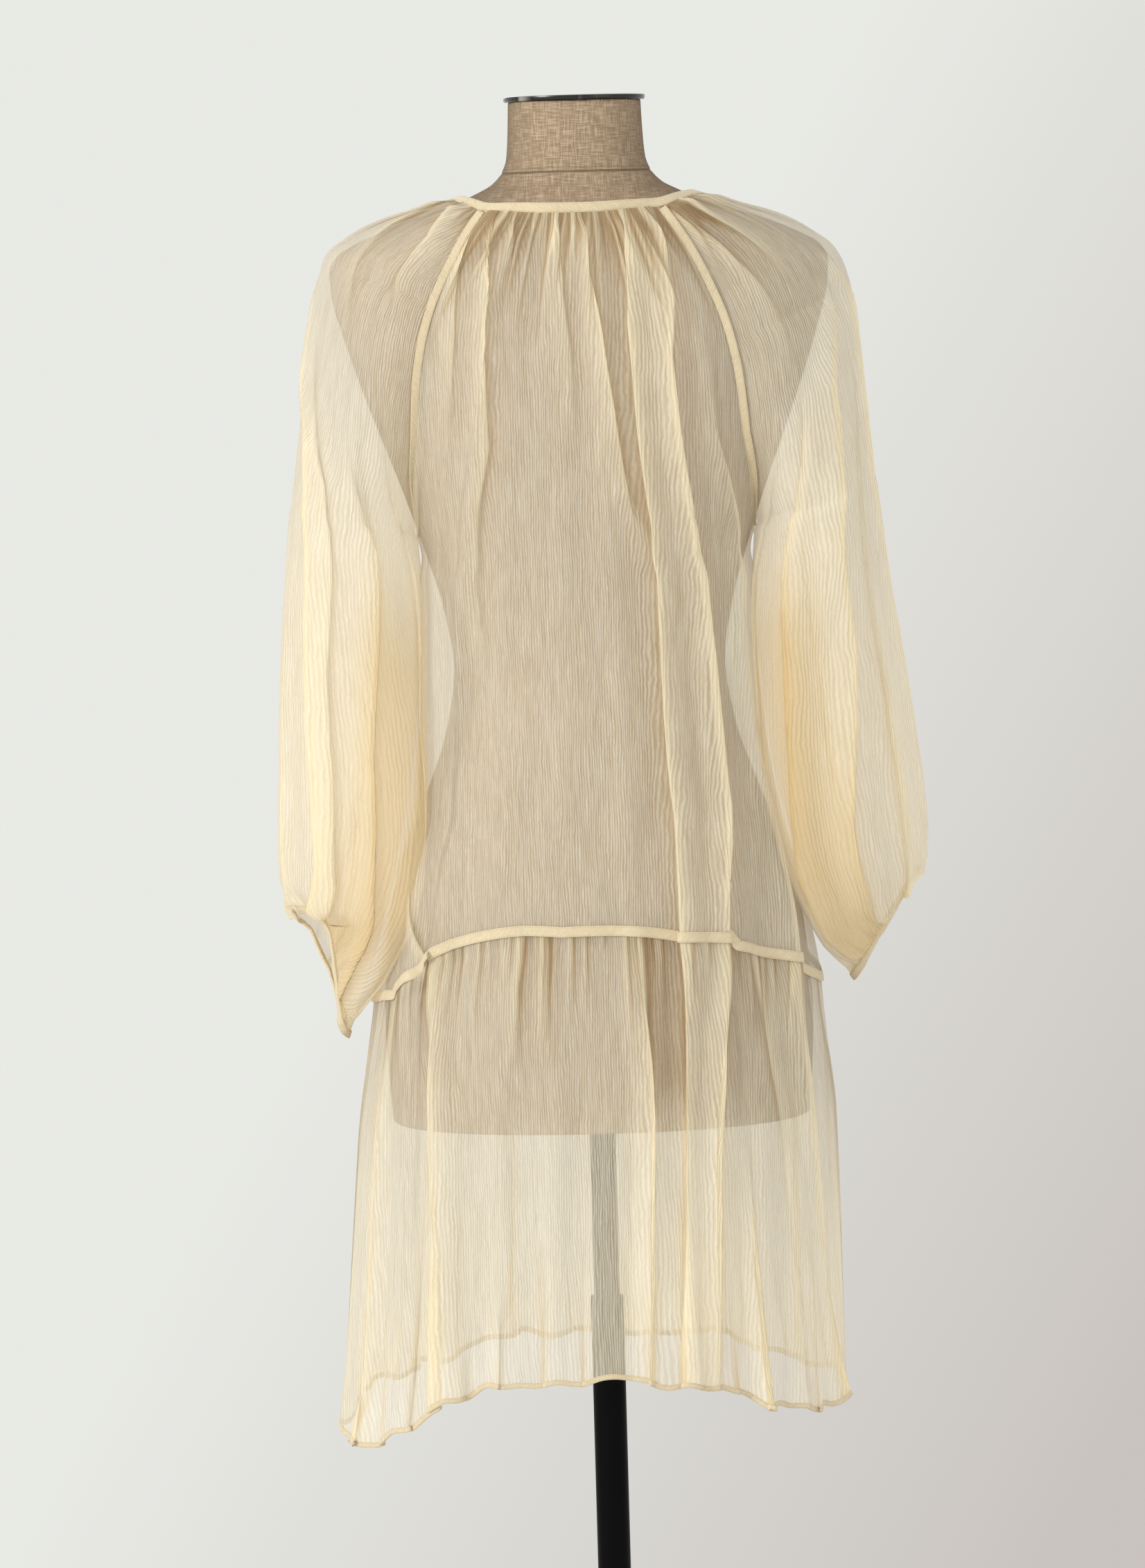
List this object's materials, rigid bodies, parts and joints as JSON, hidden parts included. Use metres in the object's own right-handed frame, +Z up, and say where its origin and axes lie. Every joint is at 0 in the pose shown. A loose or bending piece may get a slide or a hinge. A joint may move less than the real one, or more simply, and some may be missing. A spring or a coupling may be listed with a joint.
{
  "type": "long-sleeve tunic on a dress form",
  "caption": "Sheer crinkled long-sleeve raglan tunic with a gathered hem tier and narrow bindings, on a linen dress form with a telescopic pole stand.",
  "frame": {"origin": "centre of the base plate's underside, on the floor", "axes": "+Z up along the pole, -Y the wearer's back, +Y the wearer's front, +X the wearer's right"},
  "size_m": [0.5088, 0.33, 1.4993],
  "materials": {
    "chiffon": "matte",
    "bias_strip": "matte",
    "linen": "matte",
    "cap_metal": "polished",
    "black_metal": "satin"
  },
  "bodies": {
    "stand": {"base_plate": "black_metal", "pole_lower": "black_metal"},
    "mast": {"pole_upper": "black_metal"},
    "form": {"form_torso": "linen", "form_neck_cap": "cap_metal", "back_panel": "chiffon", "front_panel": "chiffon", "back_tier": "chiffon", "front_tier": "chiffon", "sleeve_left": "chiffon", "sleeve_right": "chiffon", "neck_binding": "bias_strip", "raglan_binding_back_left": "bias_strip", "raglan_binding_back_right": "bias_strip", "raglan_binding_front_left": "bias_strip", "raglan_binding_front_right": "bias_strip", "tier_tape_back": "bias_strip", "tier_tape_front": "bias_strip", "hem_binding_back": "bias_strip", "hem_binding_front": "bias_strip", "cuff_binding_left": "bias_strip", "cuff_binding_right": "bias_strip"}
  },
  "joints": [
    {"name": "pole_height", "type": "slide", "parent": "stand", "child": "mast", "axis": [0, 0, 1], "range_m": [-0.13, 0.2]},
    {"name": "form_turn", "type": "hinge", "parent": "mast", "child": "form", "pos_m": [0, 0, 0.702], "axis": [0, 0, 1], "continuous": true}
  ]
}
